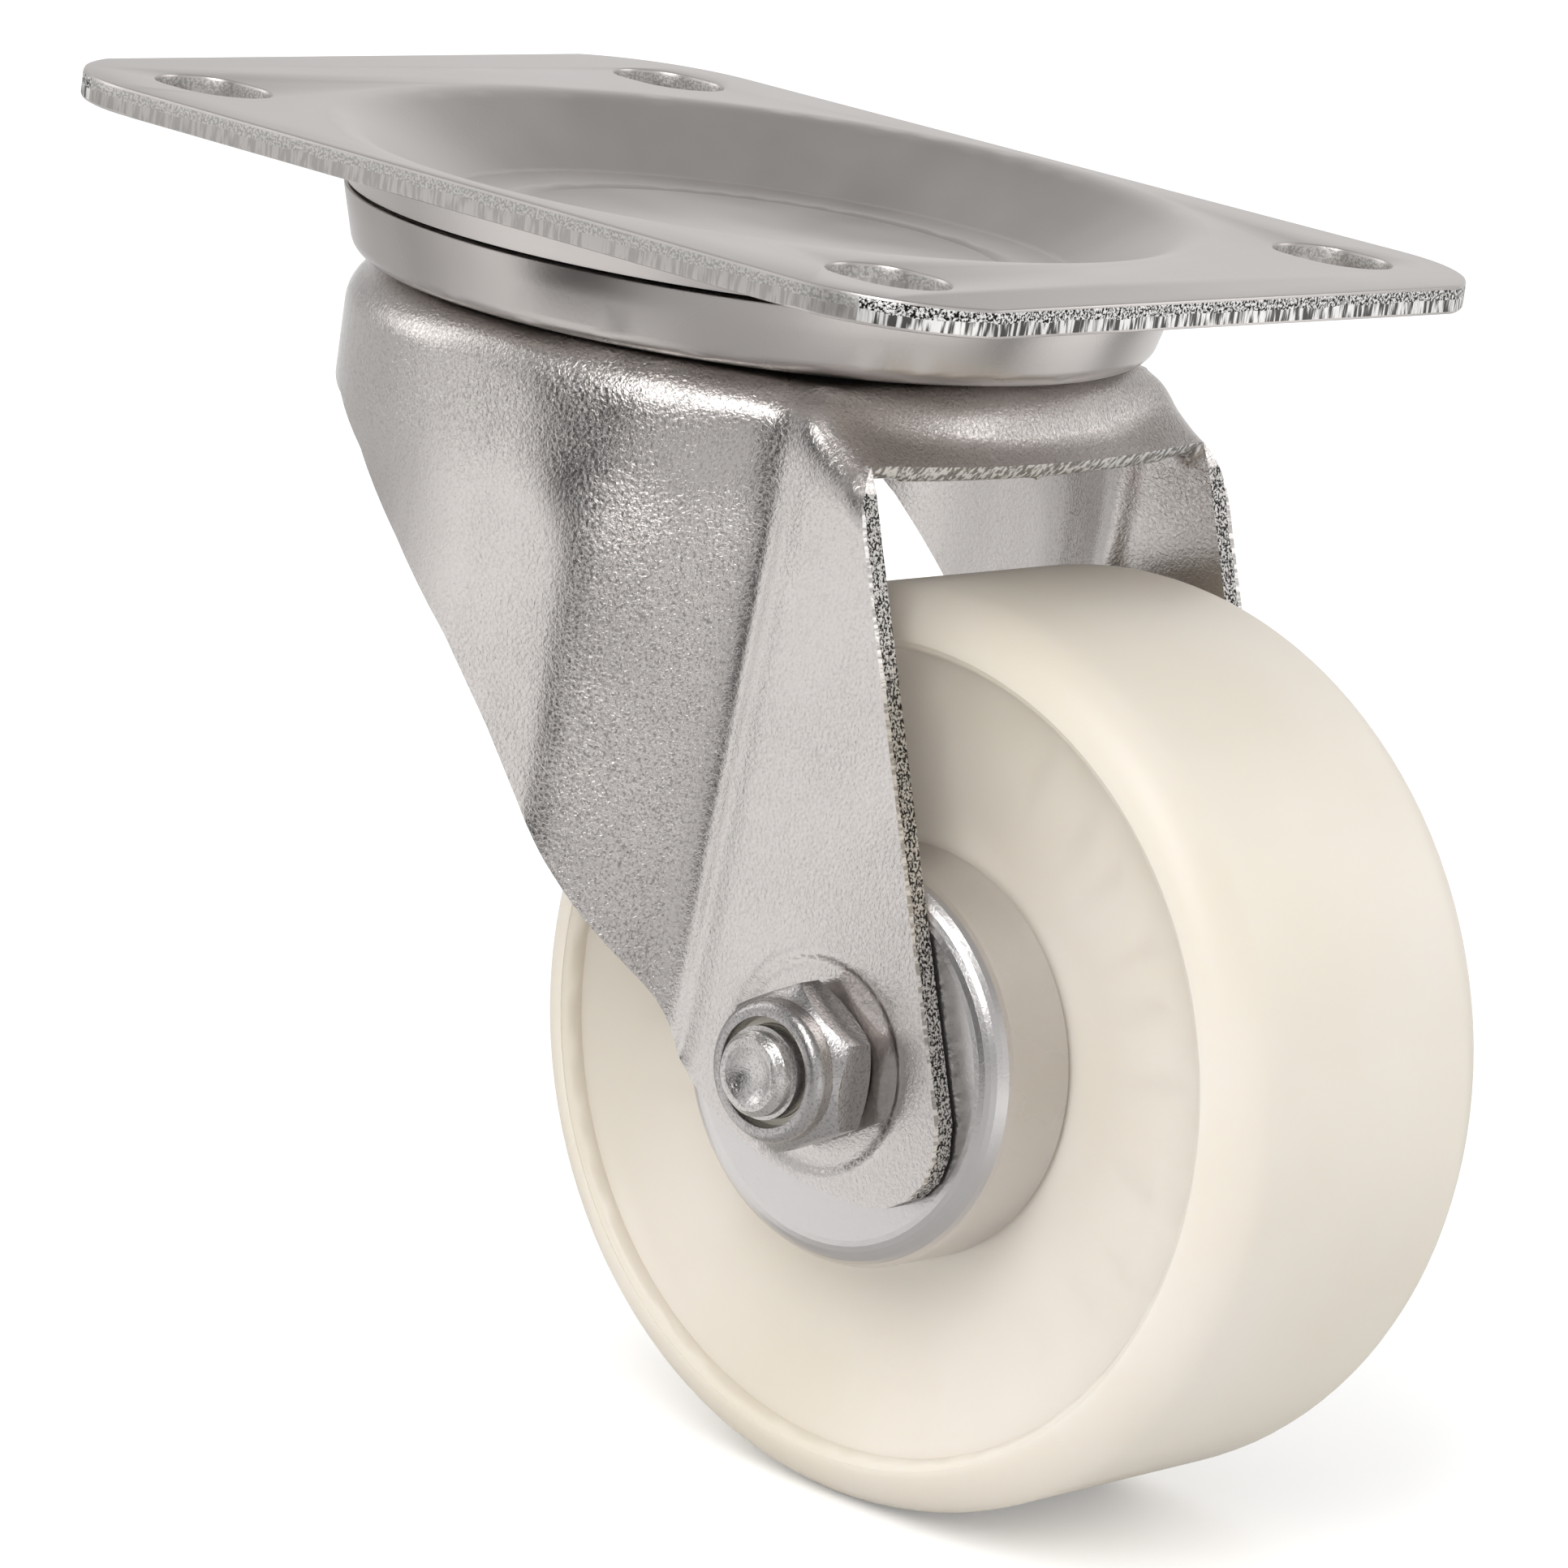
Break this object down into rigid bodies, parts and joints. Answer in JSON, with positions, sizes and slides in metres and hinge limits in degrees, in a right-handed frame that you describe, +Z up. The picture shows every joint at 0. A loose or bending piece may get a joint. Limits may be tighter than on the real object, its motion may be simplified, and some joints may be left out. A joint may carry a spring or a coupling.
{
  "type": "swivel castor",
  "caption": "Swivel plate castor: a pressed steel fork turns on a ball race head under a slotted rectangular plate and carries a solid white plastic wheel.",
  "frame": {"origin": "centre of the top plate's upper face, on the swivel axis", "axes": "+Z up out of the plate's upper face, X along the plate's long side; at rest the wheel trails towards +X and its axle lies along Y with the lock nut on the -Y side"},
  "size_m": [0.133, 0.082, 0.108],
  "materials": {
    "pressed_steel": "bright zinc plated sheet with a fine grain",
    "ring_steel": "bright zinc plated, smooth",
    "turned_steel": "bright zinc plated fastener",
    "bearing_steel": "ground and polished",
    "wheel_plastic": "moulded off-white polyamide, semi gloss",
    "small_plastic": "moulded, matt"
  },
  "bodies": {
    "plate": {"top_plate": "pressed_steel", "king_pin": "ring_steel", "pivot_bush": "turned_steel", "lower_race": "ring_steel"},
    "fork": {"fork": "pressed_steel", "seal_ring": "ring_steel", "dust_cap_near": "ring_steel", "dust_cap_far": "ring_steel", "axle_sleeve": "turned_steel", "axle_bolt": "turned_steel", "lock_nut": "turned_steel", "nut_insert": "small_plastic", "bearing_inner_near": "bearing_steel", "bearing_inner_far": "bearing_steel"},
    "swivel_balls": {"upper_balls": "bearing_steel", "lower_balls": "bearing_steel"},
    "wheel": {"wheel": "wheel_plastic", "bearing_outer_near": "bearing_steel", "bearing_outer_far": "bearing_steel", "bearing_shield_near": "bearing_steel", "bearing_shield_far": "bearing_steel"},
    "wheel_balls": {"bearing_balls_near": "bearing_steel", "bearing_balls_far": "bearing_steel", "bearing_cage_near": "small_plastic", "bearing_cage_far": "small_plastic"}
  },
  "joints": [
    {"name": "swivel", "type": "hinge", "parent": "plate", "child": "fork", "pos_m": [0, 0, 0], "axis": [0, 0, 1], "continuous": true},
    {"name": "swivel_ball_roll", "type": "hinge", "parent": "plate", "child": "swivel_balls", "pos_m": [0, 0, 0], "axis": [0, 0, 1], "continuous": true},
    {"name": "wheel_spin", "type": "hinge", "parent": "fork", "child": "wheel", "pos_m": [0.04, 0, -0.068], "axis": [0, 1, 0], "continuous": true},
    {"name": "wheel_ball_roll", "type": "hinge", "parent": "fork", "child": "wheel_balls", "pos_m": [0.04, 0, -0.068], "axis": [0, 1, 0], "continuous": true}
  ],
  "couplings": [
    {"joint": "swivel_ball_roll", "follows": "swivel", "ratio": 0.5},
    {"joint": "wheel_ball_roll", "follows": "wheel_spin", "ratio": 0.635}
  ]
}
